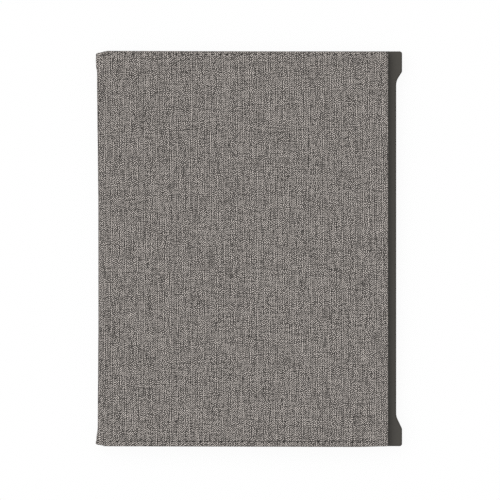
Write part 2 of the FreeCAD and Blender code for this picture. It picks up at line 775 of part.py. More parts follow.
def port_room(margin, y):
    half = f"Dim.port_width / 2 + {margin}"
    z = (f"Place.port_low - {margin}", "Place.base_inner")
    return about("Place.port_x", half), y, z


def switch_room(margin, travel, y):
    x = (f"Place.switch_x - Dim.switch_knob_length / 2 - {margin}",
         f"Place.switch_x + Dim.switch_knob_length / 2 + {travel} + {margin}")
    return x, y, about("Place.switch_z", f"Dim.switch_knob_height / 2 + {margin}")


def side_openings(name, low, high):
    """Rooms for the charge port and the switch through one layer of the cover's end."""
    layer = (low, high)
    port = block(f"{name}_port_room", *port_room("Dim.port_clearance", layer))
    slot = block(f"{name}_switch_room", *switch_room("Dim.switch_clearance", "Dim.switch_travel", layer))
    return [port, slot]


def make_front_fabric():
    wrap = block("wrap_block", ("Place.panel_left", "Place.panel_right"), both_ways("Place.panel_half"),
                 ("Place.deck_face", "Place.cover_top"))
    corners = rounded("wrap_corners", wrap, "Dim.panel_corner_radius", right_hand_uprights())
    top = number("Place.cover_top")
    left = number("Place.panel_left")
    edged = rounded("wrap_edges", corners, "Dim.panel_edge_round",
                    lambda edge: edge.BoundBox.ZMin > top - 1e-6 and edge.BoundBox.XMax > left + 1e-6)
    inside = block("wrap_inside", ("Place.panel_left", "Place.frame_right"), both_ways("Place.frame_half"),
                   ("Place.deck_face", "Place.base_outer"))
    open_wrap = cut("wrap_hollow", edged, [inside])
    return cut("front_fabric", open_wrap, side_openings("skirt", "Place.frame_half", "Place.panel_half"))


def boss_spots():
    for row, x in (("spine", "Place.boss_left"), ("middle", "Place.boss_mid"), ("edge", "Place.boss_right")):
        for column, y in (("upper", "Place.boss_end"), ("centre", "0"), ("lower", "-Place.boss_end")):
            yield f"{row}_{column}", x, y


def make_base_plate():
    sheet = block("base_sheet", ("Place.panel_left", "Place.frame_right"), both_ways("Place.frame_half"),
                  ("Place.base_inner", "Place.base_outer"))
    seat_low = "Place.base_outer - Dim.screw_head_height - Dim.screw_head_recess"
    holes = []
    seats = []
    for spot, x, y in boss_spots():
        hole_radius = "Dim.screw_radius + Dim.screw_clearance"
        holes.append(post(f"base_hole_{spot}", hole_radius, x, y, ("Place.base_inner", seat_low)))
        seat_radius = "Dim.screw_head_radius + Dim.screw_clearance"
        seats.append(post(f"base_seat_{spot}", seat_radius, x, y, (seat_low, "Place.base_outer")))
    return cut("base_plate", cut("base_seated", sheet, seats), holes)


def make_keyboard_deck(openings):
    flange = block("deck_flange", ("Place.panel_left", "Place.panel_right"), both_ways("Place.panel_half"),
                   ("Place.rim_face", "Place.deck_face"))
    walls = block("deck_walls", ("Place.panel_left", "Place.frame_right"), both_ways("Place.frame_half"),
                  ("Place.deck_face", "Place.base_inner"))
    round_flange = rounded("deck_flange_round", flange, "Dim.panel_corner_radius", right_hand_uprights())
    well = block("deck_well", ("Place.well_left", "Place.well_right"), both_ways("Place.well_half"),
                 ("Place.rim_face", "Place.deck_face"))
    cavity = block("deck_cavity", ("Place.cavity_left", "Place.cavity_right"), both_ways("Place.cavity_half"),
                   ("Place.deck_inner", "Place.base_inner"))
    hollow = cut("deck_hollow", joined("deck_solid", [round_flange, walls]), [well, cavity])
    bosses = [
        post(f"boss_{spot}", "Dim.boss_radius", x, y, ("Place.deck_inner", "Place.base_inner"))
        for spot, x, y in boss_spots()
    ]
    bossed = joined("deck_bossed", [hollow] + bosses)
    bore_z = ("Place.base_inner - Dim.screw_bite", "Place.base_inner")
    bores = [post(f"boss_bore_{spot}", "Dim.screw_radius", x, y, bore_z) for spot, x, y in boss_spots()]
    bored = cut("deck_bored", bossed, bores)
    lens_hole = post("lens_hole", "Dim.lens_radius", "Place.switch_x", "Place.well_half - Dim.lens_inset",
                     ("Place.deck_face", "Place.deck_inner"))
    ends = side_openings("wall", "Place.cavity_half", "Place.frame_half")
    return cut("keyboard_deck", bored, openings + ends + [lens_hole])


def make_key_membrane():
    margin = "Dim.membrane_margin"
    z = ("Place.membrane_low", "Place.base_inner")
    field_x = (f"Place.field_left + {margin}", f"Place.field_right - {margin}")
    sheet = block("membrane_sheet", field_x, both_ways(f"Place.field_half - {margin}"), z)
    middle = "(Place.board_low + Place.board_high) / 2"
    tail_x = (field_x[1], "Place.works_left - Dim.board_clearance")
    tail = block("membrane_tail", tail_x, about(middle, "Dim.tail_width / 2"), z)
    return joined("key_membrane", [sheet, tail])


def make_controller_board():
    board = block("board_sheet", ("Place.works_left", "Place.board_right"),
                  ("Place.board_low", "Place.board_high"), ("Place.board_under", "Place.base_inner"))
    notch = block("board_notch", *port_room("Dim.port_clearance", ("Place.port_back", "Place.board_high")))
    return cut("controller_board", board, [notch])


def make_battery_pack():
    x = ("Place.works_left", "Place.works_left + Dim.battery_width")
    cell = block("battery_cell", x, ("Place.battery_low", "Place.battery_high"),
                 ("Place.base_inner - Dim.battery_thickness", "Place.base_inner"))
    return rounded("battery_pack", cell, "Dim.battery_round", upright)


def make_battery_lead():
    x = about("Place.port_x", "Dim.lead_width / 2")
    return block("battery_lead", x, ("Place.battery_high", "Place.board_low"),
                 ("Place.base_inner - Dim.lead_thickness", "Place.base_inner"))


def make_charge_port():
    """A metal sleeve, open at the cover's end, with a contact tongue inside."""
    sleeve = block("port_sleeve", *port_room("0", ("Place.port_back", "Place.frame_half")))
    hollow_x = about("Place.port_x", "Dim.port_width / 2 - Dim.port_sheet")
    hollow_z = ("Place.port_low + Dim.port_sheet", "Place.base_inner - Dim.port_sheet")
    back_wall = "Place.port_back + Dim.port_sheet"
    hollow = block("port_hollow", hollow_x, (back_wall, "Place.frame_half"), hollow_z)
    tongue_x = about("Place.port_x", "Dim.port_width / 2 - Dim.port_tongue_margin")
    tongue_z = about("(Place.port_low + Place.base_inner) / 2", "Dim.port_tongue_thickness / 2")
    tongue_y = ("Place.port_back", "Place.frame_half - Dim.port_tongue_margin")
    tongue = block("port_tongue", tongue_x, tongue_y, tongue_z)
    return joined("charge_port", [cut("port_shell", sleeve, [hollow]), tongue])


def make_status_lens():
    return post("status_lens", "Dim.lens_radius", "Place.switch_x", "Place.well_half - Dim.lens_inset",
                ("Place.deck_face", "Place.deck_face + Dim.lens_depth"))


def make_panel_screws():
    head_top = "Place.base_outer - Dim.screw_head_recess"
    head_low = f"{head_top} - Dim.screw_head_height"
    screws = []
    for spot, x, y in boss_spots():
        head = post(f"screw_head_{spot}", "Dim.screw_head_radius", x, y, (head_low, head_top))
        shank_z = ("Place.base_inner - Dim.screw_bite", head_low)
        shank = post(f"screw_shank_{spot}", "Dim.screw_radius", x, y, shank_z)
        screws.append(joined(f"panel_screw_{spot}", [head, shank]))
    return group("panel_screws", screws)


def make_closure_magnets():
    x = ("Place.magnet_right - Dim.magnet_width", "Place.magnet_right")
    z = ("Place.base_inner - Dim.magnet_thickness", "Place.base_inner")
    magnets = [
        block(f"magnet_{side}", x, about(middle, "Dim.magnet_length / 2"), z)
        for side, middle in (("upper", "Dim.magnet_offset"), ("lower", "-Dim.magnet_offset"))
    ]
    return group("closure_magnets", magnets)


def make_power_switch():
    foot_high = "Place.cavity_half - Dim.switch_foot_gap"
    knob_y = (foot_high, "Place.panel_half - Dim.switch_knob_sunk")
    knob = block("switch_knob", *switch_room("0", "0", knob_y))
    foot_z = ("Place.deck_inner + Dim.switch_foot_gap", "Place.base_inner - Dim.switch_foot_gap")
    foot = block("switch_foot", about("Place.switch_x", "Dim.switch_foot_length / 2"),
                 (f"{foot_high} - Dim.switch_foot_thickness", foot_high), foot_z)
    return joined("power_switch", [knob, foot])


def make_all():
    key_nodes, openings, domes = make_keys()
    makers = (
        make_tray_shell, make_tray_liner, make_back_fabric,
        make_hinge_brackets, make_hinge_pins, make_bracket_screws,
        make_kickstand_plate, make_kickstand_fabric, make_kickstand_foot,
        make_hinge_tongues, make_tongue_rivets,
        make_spine_fabric, make_spine_board, make_spine_lining,
        make_front_fabric, make_base_plate, make_key_membrane, make_controller_board,
        make_battery_pack, make_battery_lead, make_charge_port, make_status_lens, make_panel_screws,
        make_closure_magnets, make_power_switch,
    )
    return [maker() for maker in makers] + [make_keyboard_deck(openings), domes] + key_nodes


subparts = make_all()
doc.recompute()

for item in doc.Objects:
    if "Invalid" in item.State or "Error" in item.State:
        raise RuntimeError(f"{item.Label} failed: {item.State}")
for item in subparts:
    if item.Shape.isNull() or not item.Shape.isValid():
        raise RuntimeError(f"{item.Label} has no valid shape")

os.makedirs("parts", exist_ok=True)
for item in subparts:
    item.Shape.exportStep(f"parts/{item.Label}.step")
    print(item.Label, len(item.Shape.Solids), round(item.Shape.Volume, 1))
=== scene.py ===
import math
import bmesh
import bpy
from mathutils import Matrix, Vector


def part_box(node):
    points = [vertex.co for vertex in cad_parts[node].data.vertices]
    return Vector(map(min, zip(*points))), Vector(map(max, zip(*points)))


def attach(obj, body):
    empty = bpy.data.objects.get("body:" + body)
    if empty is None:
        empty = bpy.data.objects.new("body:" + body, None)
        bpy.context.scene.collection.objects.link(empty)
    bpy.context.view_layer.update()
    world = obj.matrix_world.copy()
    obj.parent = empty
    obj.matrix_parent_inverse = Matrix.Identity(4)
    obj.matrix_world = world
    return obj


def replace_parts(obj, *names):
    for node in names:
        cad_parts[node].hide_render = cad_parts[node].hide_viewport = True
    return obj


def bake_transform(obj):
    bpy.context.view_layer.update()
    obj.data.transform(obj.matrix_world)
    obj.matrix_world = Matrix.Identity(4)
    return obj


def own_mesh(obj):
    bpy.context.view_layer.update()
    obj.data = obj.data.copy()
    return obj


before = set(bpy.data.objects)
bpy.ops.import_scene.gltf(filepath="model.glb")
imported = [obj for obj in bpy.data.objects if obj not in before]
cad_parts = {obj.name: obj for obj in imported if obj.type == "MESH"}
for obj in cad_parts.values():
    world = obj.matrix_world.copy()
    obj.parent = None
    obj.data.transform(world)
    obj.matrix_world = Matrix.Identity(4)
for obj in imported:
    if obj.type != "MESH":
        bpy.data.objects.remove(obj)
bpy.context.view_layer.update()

MM = 0.001

# Places read from the frame
COVER_LOW, COVER_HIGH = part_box("front_fabric")
SPINE_LOW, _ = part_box("spine_fabric")
BACK_LOW, BACK_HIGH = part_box("back_fabric")
CLOTH = BACK_HIGH.z - BACK_LOW.z
TOP = COVER_HIGH.z
HALF = COVER_HIGH.y

# Cloth: its rounded edges, the fold round the spine, and the steps of its mesh
FOLD_RADIUS = 2.5 * MM
EDGE_INSET = 1.2 * MM
EDGE_ROUND = 0.9 * MM
FOLD_RIM = 0.3 * MM
COVER_SLACK = 0.1 * MM
GRID_STEP = 2.0 * MM
SKIRT_STEP = 1.5 * MM
PULL_STEP = 1.0 * MM
FOLD_STEP = 0.5 * MM
CORNER_STEPS = 4
QUARTER_TURN = [math.pi / 2 * i / CORNER_STEPS for i in range(CORNER_STEPS + 1)]
DIGITS = 7

# Room round the charging port and the switch in the upper skirt
PORT_ROOM = 0.1 * MM
SWITCH_ROOM = 0.3 * MM
SWITCH_TRAVEL = 2.5 * MM
END_DEPTH = 0.05 * MM

# Weave: waves per millimetre of the slanting threads, each with its strength, and of the yarns and fibres
THREADS = [(0.440, -0.718, 0.21), (0.759, 0.735, 0.30), (0.459, 0.717, -0.115), (0.740, -0.700, 0.175)]
WARP, WEFT, FIBRE = 0.665, 0.721, 0.737
WARP_STRENGTH = 0.155

# How the weave swells and thins: a patch's size along x and y in millimetres, a seed, and the strength
STREAK_SWELL = (0.9, 7.7, 19.5, 0.065)
WARP_SWELL = (1.3, 7.0, 3.3, 1.3)
WEFT_SWELL = (7.0, 1.3, 7.7, 1.0)
FIBRE_X_SWELL = (4.0, 1.2, 23.6, 1.2)
FIBRE_Y_SWELL = (1.2, 4.0, 29.4, 1.2)
CROSSING_SWELL = (1.4, 1.4, 11.4, 6.0)

# How far the threads wander, in millimetres, and over what scale
DRIFT_REACH, DRIFT_SCALE = 0.64, 0.03

# Tones of the weave
WEAVE_TONE, WEAVE_POWER = 0.247, 1.6
WEAVE_DARK, WEAVE_LIGHT = (0.020, 0.0183, 0.0170), (0.73, 0.667, 0.620)
WEAVE_RELIEF = 0.04 * MM

# Hem along the two short edges of the cover; for each edge, where its first needle hole lies, the pitch, and
# how far each stitch lies from its hole: on along the hem, and out towards the edge
HEM_TOP = 2.1 * MM
HEM_BOTTOM = 3.13 * MM
HEM_LINES = (HALF - HEM_TOP, HEM_BOTTOM - HALF)
HEM_END = 2 * MM
HEM_DIP = 0.1 * MM
HEM_DIP_WIDTH = 0.55 * MM
HEM_DIP_STEPS = 5
STITCHES_TOP = (-88.8 * MM, 4.62 * MM, 2.0 * MM, 0.0)
STITCHES_BOTTOM = (-89.4 * MM, 4.42 * MM, 1.35 * MM, 0.3 * MM)

# Half sizes of a stitch, of the near-black bead that paints the shade in a needle hole, and of the near-black
# bead that paints the shadow of the crease beside a stitch
STITCH = (0.7 * MM, 0.32 * MM, 0.2 * MM)
NEEDLE_HOLE_SHADE = (0.9 * MM, 0.34 * MM, 0.12 * MM)
CREASE_SHADOW = (2.3 * MM, 0.12 * MM, 0.06 * MM)

# How the cloth is drawn in at the spine's ends and at the lower free corner, and how it lies askew
PULL_START, PULL_END = -91.0 * MM, -98.7 * MM
PULL_TOP, PULL_BOTTOM = 1.6 * MM, 1.15 * MM
CORNER_START, CORNER_END = 66 * MM, 87 * MM
CORNER_PULL = 0.45 * MM
ASKEW = -0.0028
SLIP = -0.15 * MM

# How far the spine's cloth stands out along its length: place and distance in millimetres
BOW = [(-126, 1.9), (-122, 1.4), (-115, 0.55), (-101, 0.5), (-80, 0.32), (-45, 0.13), (25, 0.18), (62, 0.5),
       (82, 0.76), (103, 0.96), (114.4, 0.95), (116.4, 1.55), (122, 1.75), (126, 1.75)]

# Flat cloths cut from CAD sheets: what counts as their face, and how their edges are rounded
FACE_TILT = 0.9
FACE_REACH = 1e-5
MERGE_ANGLE = 0.01
SHARP_ANGLE = math.radians(40)
SOFT_SHARE = 0.4

# Camera, straight above
CAMERA_DISTANCE = 3.0
CAMERA_REACH = 20.0
VIEW_WIDTH = 319.0 * MM
VIEW_CENTRE = (-0.3 * MM, -0.8 * MM)

# Light and floor
FILL = 0.38
OVERHEAD = 2.08
OVERHEAD_SPREAD = math.radians(70)
OVERHEAD_TILT = (math.radians(-8), math.radians(-17), 0)
FLOOR_HALF = 3.0
FLOOR_DROP = 0.2 * MM
FLOOR_SHARE = 0.07


def smooth(value, low, high):
    """A smooth step from 0 at low to 1 at high."""
    t = min(max((value - low) / (high - low), 0.0), 1.0)
    return t * t * (3 - 2 * t)


def steps(low, high, size):
    """Evenly spaced values from low to high, at most size apart."""
    count = max(1, math.ceil((high - low) / size - 1e-9))
    return [low + (high - low) * i / count for i in range(count + 1)]


def rounded(values):
    """The values as a set, so that steps that fall together count once."""
    return {round(value, DIGITS) for value in values}


# Meshes

def new_piece(name, points, faces, flat=None):
    """A smooth mesh object; flat gives each point's place on the cut cloth, kept as its UV."""
    mesh = bpy.data.meshes.new(name)
    mesh.from_pydata(points, [], faces)
    if flat:
        layer = mesh.uv_layers.new(name="cloth")
        for loop in mesh.loops:
            layer.data[loop.index].uv = flat[loop.vertex_index]
    mesh.polygons.foreach_set("use_smooth", [True] * len(mesh.polygons))
    piece = bpy.data.objects.new(name, mesh)
    bpy.context.collection.objects.link(piece)
    return piece


def weld(piece, distance=1e-6):
    """Joins points that lie in one place and turns every face outwards."""
    bm = bmesh.new()
    bm.from_mesh(piece.data)
    bmesh.ops.remove_doubles(bm, verts=bm.verts, dist=distance)
    bmesh.ops.recalc_face_normals(bm, faces=bm.faces)
    bm.to_mesh(piece.data)
    bm.free()
    return piece


def wear(piece, *materials):
    """Gives a piece its materials."""
    piece.data.materials.clear()
    for material in materials:
        piece.data.materials.append(material)
    return piece


def thicken(piece, thickness, inner=0):
    """A second side under the cloth; inner is the material slot of that side."""
    modifier = piece.modifiers.new("thickness", "SOLIDIFY")
    modifier.thickness = thickness
    modifier.offset = -1
    modifier.material_offset = inner
    return piece


def soften(piece, width, segments=3):
    """Rounds the sharp edges."""
    modifier = piece.modifiers.new("soft_edge", "BEVEL")
    modifier.width = width
    modifier.segments = segments
    modifier.limit_method = "ANGLE"
    modifier.angle_limit = SHARP_ANGLE
    return piece


def grid_faces(rows, columns, start=0):
    """The faces of a grid of points that is listed row by row."""
    return [(start + i * columns + j, start + (i + 1) * columns + j,
             start + (i + 1) * columns + j + 1, start + i * columns + j + 1)
            for i in range(rows - 1) for j in range(columns - 1)]


def bead(points, faces, centre, half, sides=8, rings=8):
    """Adds an ellipsoid with the given half sizes to the lists of points and faces."""
    first = len(points)
    for i in range(rings + 1):
        lift = math.pi * i / rings
        for k in range(sides):
            turn = 2 * math.pi * k / sides
            points.append(centre + Vector((half[0] * math.cos(lift),
                                           half[1] * math.sin(lift) * math.cos(turn),
                                           half[2] * math.sin(lift) * math.sin(turn))))
    for i in range(rings):
        for k in range(sides):
            a, b = first + i * sides + k, first + i * sides + (k + 1) % sides
            faces.append((a, b, b + sides, a + sides))


# Materials

class Shader:
    """One material's node tree, with short calls for the nodes that the materials share."""

    def __init__(self, name, **sockets):
        self.material = bpy.data.materials.new(name)
        self.material.use_nodes = True
        self.tree = self.material.node_tree
        self.surface = self.tree.nodes["Principled BSDF"]
        for socket, value in sockets.items():
            self.surface.inputs[socket.replace("_", " ")].default_value = value

    def node(self, kind, inputs, **settings):
        node = self.tree.nodes.new("ShaderNode" + kind)
        for key, value in settings.items():
            setattr(node, key, value)
        for key, value in inputs.items():
            if isinstance(value, bpy.types.NodeSocket):
                self.tree.links.new(value, node.inputs[key])
            else:
                node.inputs[key].default_value = value
        return node

    def math(self, operation, first, second=0.0, third=0.0):
        return self.node("Math", {0: first, 1: second, 2: third}, operation=operation).outputs[0]

    def vectors(self, operation, first, second, output="Vector"):
        return self.node("VectorMath", {0: first, 1: second}, operation=operation).outputs[output]

    def place(self):
        return self.node("TexCoord", {}).outputs["Object"]

    def noise(self, vector, scale, detail=2.0, roughness=0.5, output="Fac"):
        inputs = {"Vector": vector, "Scale": scale, "Detail": detail, "Roughness": roughness}
        return self.node("TexNoise", inputs).outputs[output]

    def colour(self, factor, dark, light):
        """The base colour runs from dark to light with the factor."""
        ramp = self.node("ValToRGB", {"Fac": factor})
        ramp.color_ramp.elements[0].color = (*dark, 1)
        ramp.color_ramp.elements[1].color = (*light, 1)
        self.tree.links.new(ramp.outputs["Color"], self.surface.inputs["Base Color"])

    def roughness(self, noise, low, high):
        """The roughness runs from low to high over the middle of a noise's range."""
        inputs = {"Value": noise, "From Min": 0.3, "From Max": 0.7, "To Min": low, "To Max": high}
        spread = self.node("MapRange", inputs).outputs["Result"]
        self.tree.links.new(spread, self.surface.inputs["Roughness"])

    def bump(self, height, distance, strength=0.5):
        node = self.node("Bump", {"Height": height, "Distance": distance, "Strength": strength})
        self.tree.links.new(node.outputs["Normal"], self.surface.inputs["Normal"])


def scaled(colour, factor):
    return tuple(channel * factor for channel in colour)


def woven_cloth():
    """Heathered weave: threads that cross aslant, yarns that swell and thin, and flecks of fibre."""
    shader = Shader("woven_cloth", Roughness=0.9, Specular_IOR_Level=0.2, Sheen_Weight=0.05, Sheen_Roughness=0.5)
    flat = shader.node("UVMap", {}, uv_map="cloth").outputs["UV"]
    place = shader.vectors("MULTIPLY", flat, (1 / MM,) * 3)
    drift = shader.noise(place, DRIFT_SCALE, detail=1.0, output="Color")
    place = shader.vectors("ADD", place, shader.vectors("MULTIPLY", drift, (DRIFT_REACH,) * 3))

    def wave(x, y):
        turns = (2 * math.pi * x, 2 * math.pi * y, 0.0)
        return shader.math("SINE", shader.vectors("DOT_PRODUCT", place, turns, output="Value"))

    def swell(x, y, seed, strength, middle=0.0):
        spot = shader.vectors("MULTIPLY", place, (1 / x, 1 / y, 0.0))
        spot = shader.vectors("ADD", spot, (0.0, 0.0, seed))
        noise = shader.math("SUBTRACT", shader.noise(spot, 1.0, detail=0.0), 0.5)
        return shader.math("MULTIPLY_ADD", noise, strength, middle)

    crossing = shader.math("MULTIPLY", wave(FIBRE, 0.0), wave(0.0, FIBRE))
    waves = [(wave(x, y), strength) for x, y, strength in THREADS]
    waves += [(wave(WARP, 0.0), swell(*WARP_SWELL, WARP_STRENGTH)),
              (wave(0.0, WEFT), swell(*WEFT_SWELL)),
              (wave(FIBRE, 0.0), swell(*FIBRE_X_SWELL)),
              (wave(0.0, FIBRE), swell(*FIBRE_Y_SWELL)),
              (crossing, swell(*CROSSING_SWELL))]
    tone = swell(*STREAK_SWELL, WEAVE_TONE)
    for height, strength in waves:
        tone = shader.math("MULTIPLY_ADD", height, strength, tone)
    tone = shader.math("MAXIMUM", tone, 0.0)
    shader.colour(shader.math("POWER", tone, WEAVE_POWER), WEAVE_DARK, WEAVE_LIGHT)
    shader.bump(tone, WEAVE_RELIEF)
    return shader.material


def felt(name, colour):
    """Brushed microfibre with a short nap."""
    shader = Shader(name, Roughness=0.95, Specular_IOR_Level=0.15, Sheen_Weight=0.25, Sheen_Roughness=0.4)
    place = shader.place()
    nap = shader.noise(place, 2600.0, detail=3.0, roughness=0.6)
    cloud = shader.noise(place, 60.0)
    both = shader.math("MULTIPLY_ADD", cloud, 0.5, shader.math("MULTIPLY", nap, 0.5))
    shader.colour(both, scaled(colour, 0.55), scaled(colour, 1.45))
    shader.bump(nap, 0.08 * MM)
    return shader.material


def moulded(name, colour, roughness, grain=0.02 * MM, grain_scale=3200.0):
    """Moulded plastic or rubber with a fine eroded grain and faint handling marks."""
    shader = Shader(name, Specular_IOR_Level=0.12)
    place = shader.place()
    marks = shader.noise(place, 45.0, detail=3.0, roughness=0.6)
    fine = shader.noise(place, grain_scale, roughness=0.6)
    shader.colour(marks, scaled(colour, 0.88), scaled(colour, 1.12))
    shader.roughness(marks, roughness - 0.06, roughness + 0.08)
    shader.bump(fine, grain)
    return shader.material


def metal(name, colour, roughness, brushed=(1.0, 1.0, 1.0)):
    """Metal with fine brushing; brushed stretches the scratches along an axis."""
    shader = Shader(name, Metallic=1.0)
    place = shader.vectors("MULTIPLY", shader.place(), brushed)
    scratches = shader.noise(place, 2400.0, detail=3.0, roughness=0.7)
    shader.colour(scratches, scaled(colour, 0.85), scaled(colour, 1.1))
    shader.roughness(scratches, roughness - 0.08, roughness + 0.1)
    shader.bump(scratches, 0.01 * MM, strength=0.4)
    return shader.material


def film(name, colour, roughness, speckle):
    """Printed film, foil or board with a fine speckle."""
    shader = Shader(name, Specular_IOR_Level=0.4)
    spots = shader.noise(shader.place(), speckle)
    shader.colour(spots, scaled(colour, 0.8), scaled(colour, 1.15))
    shader.roughness(spots, roughness - 0.05, roughness + 0.1)
    return shader.material


weave = woven_cloth()
thread = felt("hem_thread", (0.41, 0.376, 0.348))
# Near-black felt that paints the shade in the needle holes and the shadow of the crease beside the lower
# stitches
hole_shade = felt("painted_hem_shade", (0.012, 0.011, 0.010))
microfibre = felt("microfibre", (0.055, 0.053, 0.050))
key_plastic = moulded("key_plastic", (0.030, 0.030, 0.031), 0.45)
silicone = moulded("dome_rubber", (0.70, 0.70, 0.68), 0.6)
hinge_steel = metal("hinge_steel", (0.42, 0.42, 0.43), 0.32, brushed=(1.0, 0.06, 1.0))
fastener_steel = metal("fastener_steel", (0.32, 0.32, 0.33), 0.38)
stiffener = metal("stiffener", (0.62, 0.62, 0.63), 0.40, brushed=(1.0, 0.05, 1.0))
legend_ink = film("legend_ink", (0.62, 0.62, 0.60), 0.6, speckle=4000.0)

NODE_MATERIALS = {
    "tray_shell": moulded("tray_plastic", (0.062, 0.0575, 0.050), 0.42),
    "keyboard_deck": moulded("deck_plastic", (0.060, 0.058, 0.056), 0.50, grain=0.03 * MM, grain_scale=2400.0),
    "kickstand_foot": moulded("foot_rubber", (0.028, 0.028, 0.028), 0.75, grain=0.03 * MM),
    "power_switch": moulded("switch_plastic", (0.05, 0.05, 0.05), 0.35),
    "hinge_brackets": hinge_steel,
    "hinge_pins": hinge_steel,
    "hinge_tongues": hinge_steel,
    "bracket_screws": fastener_steel,
    "tongue_rivets": fastener_steel,
    "panel_screws": fastener_steel,
    "kickstand_plate": stiffener,
    "base_plate": stiffener,
    "charge_port": metal("port_metal", (0.60, 0.60, 0.60), 0.28, brushed=(1.0, 1.0, 0.1)),
    "closure_magnets": metal("magnet", (0.60, 0.60, 0.62), 0.25),
    "spine_board": film("board", (0.10, 0.10, 0.10), 0.7, speckle=900.0),
    "key_membrane": film("membrane_film", (0.60, 0.60, 0.58), 0.35, speckle=600.0),
    "controller_board": film("circuit_board", (0.03, 0.16, 0.07), 0.4, speckle=700.0),
    "battery_pack": film("battery_foil", (0.55, 0.56, 0.58), 0.35, speckle=500.0),
    "battery_lead": film("lead_film", (0.45, 0.22, 0.05), 0.4, speckle=900.0),
    "status_lens": film("lens", (0.75, 0.78, 0.75), 0.12, speckle=900.0),
}
for node, material in NODE_MATERIALS.items():
    wear(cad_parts[node], material)


# Outer cloth: one flat coordinate system runs from the cover round the spine to the back

def hem_dip(y):
    """The stitched hem draws the cloth down along its two lines of thread."""
    line = HEM_LINES[0] if y > 0 else HEM_LINES[1]
    return HEM_DIP * math.exp(-((y - line) / HEM_DIP_WIDTH) ** 2)


def end_face(node, left, right, margin):
    """The part of a node that reaches furthest up along Y, with room round it: x and drop from low to high."""
    points = [v.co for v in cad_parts[node].data.vertices]
    far = max(p.y for p in points) - END_DEPTH
    face = [p for p in points if p.y > far]
    return (min(p.x for p in face) - left, max(p.x for p in face) + right,
            TOP - max(p.z for p in face) - margin, TOP - min(p.z for p in face) + margin)


# Openings in the upper skirt for the charging port and the sliding switch
OPENINGS = [end_face("charge_port", PORT_ROOM, PORT_ROOM, PORT_ROOM),
            end_face("power_switch", SWITCH_ROOM, SWITCH_TRAVEL + SWITCH_ROOM, SWITCH_ROOM)]


def edge_profile(skirt):
    """Steps over a cloth edge: way out, drop, and cloth length used."""
    flat_part = EDGE_INSET - EDGE_ROUND
    profile = [(flat_part + EDGE_ROUND * math.sin(turn), EDGE_ROUND * (1 - math.cos(turn)),
                flat_part + EDGE_ROUND * turn) for turn in QUARTER_TURN]
    used = profile[-1][2]
    levels = set(steps(EDGE_ROUND, EDGE_ROUND + skirt, SKIRT_STEP)[1:])
    levels |= {drop for opening in OPENINGS for drop in opening[2:] if drop < skirt}
    for drop in sorted(levels):
        profile.append((EDGE_INSET, drop, used + drop - EDGE_ROUND))
    return profile


def cross_profile(skirt):
    """The cloth from one short edge to the other: place along Y, drop, and flat coordinate."""
    inner = HALF - EDGE_INSET
    fine = [k * HEM_DIP_WIDTH / 2 for k in range(-HEM_DIP_STEPS, HEM_DIP_STEPS + 1)]
    middle = rounded(steps(-inner, inner, GRID_STEP))
    middle |= rounded(line + d for line in HEM_LINES for d in fine if abs(line + d) < inner)
    edge = edge_profile(skirt)
    lower = [(-inner - out, drop, -inner - used) for out, drop, used in reversed(edge)]
    upper = [(inner + out, drop, inner + used) for out, drop, used in edge]
    return lower + [(y, hem_dip(y), y) for y in sorted(middle)] + upper


def drawn_in(x, y):
    """Where a point of the cloth lies along Y once its ends are drawn in and it lies askew."""
    t = min(max((PULL_START - x) / (PULL_START - PULL_END), 0.0), 1.0)
    pull = PULL_TOP * t if y > 0 else PULL_BOTTOM * t + CORNER_PULL * smooth(x, CORNER_START, CORNER_END)
    return y * (1 - pull / HALF) + ASKEW * x + SLIP


# The fold's path from the cover to the back: a lead, a quarter turn, the wall, a quarter turn and a lead
FOLD_START = COVER_LOW.x
ARC_START = SPINE_LOW.x + FOLD_RADIUS
LEAD = FOLD_START - ARC_START
ARC = FOLD_RADIUS * math.pi / 2
WALL = TOP - 2 * FOLD_RADIUS
FOLD_PATH = 2 * LEAD + 2 * ARC + WALL


def bow(y):
    """How far the spine's cloth stands out along its length."""
    for (start, low), (end, high) in zip(BOW, BOW[1:]):
        if y <= end * MM:
            return (low + (high - low) * smooth(y, start * MM, end * MM)) * MM
    return BOW[-1][1] * MM


def fold_frame(way):
    """Point (x, z), outward direction and share of the bow at a way along the fold from the cover."""
    if way <= LEAD:
        return FOLD_START - way, TOP, 0.0, 1.0, 0.0
    if way <= LEAD + ARC:
        turn = (way - LEAD) / FOLD_RADIUS
        return (ARC_START - FOLD_RADIUS * math.sin(turn), TOP - FOLD_RADIUS * (1 - math.cos(turn)),
                -math.sin(turn), math.cos(turn), math.sin(turn) ** 2)
    if way <= LEAD + ARC + WALL:
        return SPINE_LOW.x, TOP - FOLD_RADIUS - (way - LEAD - ARC), -1.0, 0.0, 1.0
    x, z, out_x, out_z, share = fold_frame(FOLD_PATH - way)
    return x, TOP - z, out_x, -out_z, share


def fold_piece(name, ways):
    """The part of the fold over a list of ways along it."""
    profile = cross_profile(FOLD_RIM)
    points, flat = [], []
    for way in ways:
        x, z, out_x, out_z, share = fold_frame(way)
        for y, drop, along in profile:
            sink = drop - share * bow(y)
            out = x - out_x * sink
            points.append((out, drawn_in(out, y), z - out_z * sink))
            flat.append((FOLD_START - way, along))
    faces = [face[::-1] for face in grid_faces(len(ways), len(profile))]
    piece = new_piece(name, points, faces, flat)
    wear(piece, weave, microfibre)
    thicken(piece, CLOTH, 1)
    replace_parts(piece, "spine_fabric")
    return piece


def make_spine_cloth():
    """Two halves of the cloth round the spine, one running from the cover and one from the back, meeting half
    way round the fold.
    """
    half_way = FOLD_PATH / 2
    ways = [0.0] + steps(LEAD, LEAD + ARC, FOLD_STEP) + steps(LEAD + ARC, half_way, GRID_STEP)[1:]
    cover_fold = fold_piece("cover_fold_cloth", ways)
    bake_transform(cover_fold)
    back_fold = fold_piece("back_fold_cloth", [FOLD_PATH - way for way in reversed(ways)])
    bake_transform(back_fold)


